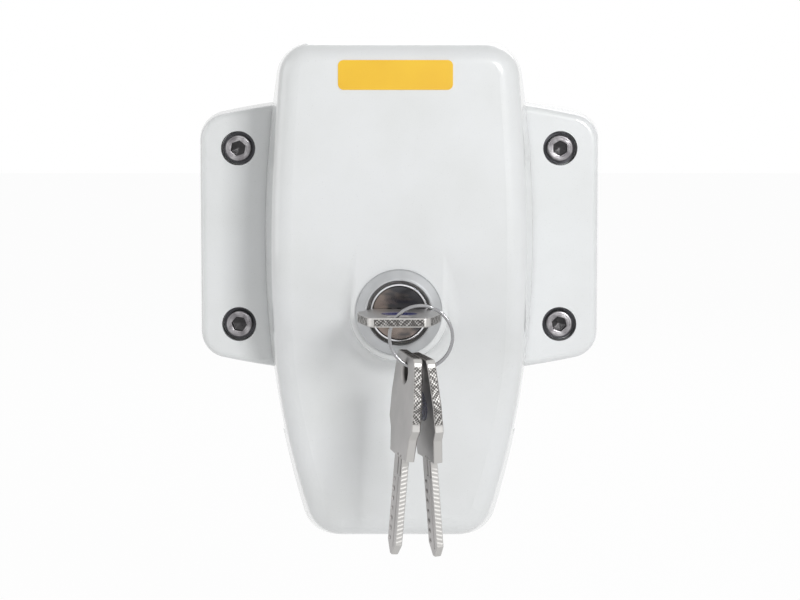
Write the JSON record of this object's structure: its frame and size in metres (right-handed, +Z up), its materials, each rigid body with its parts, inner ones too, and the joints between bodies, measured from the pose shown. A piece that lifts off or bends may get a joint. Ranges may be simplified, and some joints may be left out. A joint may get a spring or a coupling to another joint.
{
  "type": "door frame lock",
  "caption": "Swing-arm door frame lock: cast base plate on cap screws, pivoting tapered arm housing, key cylinder driving a bolt, keys on a split ring.",
  "frame": {"origin": "arm pivot axis at the wall face of the base plate gasket", "axes": "+X right seen from the front, +Z up, the front faces -Y, +Y into the wall along the fixing screws"},
  "size_m": [0.1504, 0.1361, 0.1867],
  "materials": {
    "white_paint": "gloss white powder paint over cast aluminium",
    "gasket_rubber": "matte black sheet",
    "screw_steel": "zinc-plated, machined",
    "washer_steel": "dark zinc-plated",
    "hardened_steel": "hardened, lightly oiled",
    "turned_steel": "turned",
    "spring_steel": "blued spring steel",
    "bronze": "turned bearing bronze",
    "lock_brass": "nickel-plated brass",
    "pin_brass": "turned brass",
    "satin_chrome": "satin chrome",
    "plug_chrome": "bright chrome",
    "key_nickel": "bright nickel plate",
    "ring_steel": "polished spring steel",
    "inlay_blue": "smooth blue enamel",
    "label_foil": "yellow printed foil, left plain"
  },
  "bodies": {
    "base": {"base_plate": "white_paint", "wall_gasket": "gasket_rubber", "frame_screws": "screw_steel", "frame_washers": "washer_steel", "locking_ring": "hardened_steel", "ring_screws": "screw_steel", "pivot_bush": "bronze", "disc_spring": "spring_steel"},
    "arm": {"arm_housing": "white_paint", "label": "label_foil", "pivot_journal": "turned_steel", "pivot_washer": "washer_steel", "pivot_nut": "screw_steel", "guide_screws": "screw_steel", "cylinder_body": "lock_brass", "cylinder_bezel": "satin_chrome", "cylinder_clip": "spring_steel", "driver_pins": "pin_brass", "pin_springs": "spring_steel"},
    "bolt": {"locking_bolt": "hardened_steel"},
    "plug": {"plug": "plug_chrome", "cam": "turned_steel", "cam_screw": "screw_steel", "key_pins": "pin_brass"},
    "key": {"lock_key": "key_nickel", "lock_key_inlays": "inlay_blue"},
    "loop": {"key_ring": "ring_steel"},
    "left_key": {"left_key": "key_nickel", "left_key_inlays": "inlay_blue"},
    "right_key": {"right_key": "key_nickel", "right_key_inlays": "inlay_blue"}
  },
  "joints": [
    {"name": "arm_swing", "type": "hinge", "parent": "base", "child": "arm", "pos_m": [0, 0, 0], "axis": [0, 1, 0], "range_deg": [-90, 90]},
    {"name": "plug_turn", "type": "hinge", "parent": "arm", "child": "plug", "pos_m": [0, 0, -0.0242], "axis": [0, 1, 0], "range_deg": [0, 90]},
    {"name": "bolt_slide", "type": "slide", "parent": "arm", "child": "bolt", "axis": [0, 0, 1], "range_m": [0, 0.00566]},
    {"name": "key_pull", "type": "slide", "parent": "plug", "child": "key", "axis": [0, -1, 0], "range_m": [0, 0.034]},
    {"name": "loop_turn", "type": "hinge", "parent": "key", "child": "loop", "pos_m": [0.0075, -0.0901, -0.0297], "axis": [0, 1, 0], "range_deg": [-80, 60]},
    {"name": "left_key_swing", "type": "hinge", "parent": "loop", "child": "left_key", "pos_m": [0.0035, -0.0901, -0.03973], "axis": [-0.9615, -0.2672, 0.0639], "range_deg": [-12, 60]},
    {"name": "right_key_swing", "type": "hinge", "parent": "loop", "child": "right_key", "pos_m": [0.0083, -0.0901, -0.04047], "axis": [-0.96, -0.2672, -0.084], "range_deg": [-12, 60]}
  ],
  "couplings": [
    {"joint": "bolt_slide", "follows": "plug_turn", "m_per_rad": 0.0036013}
  ]
}
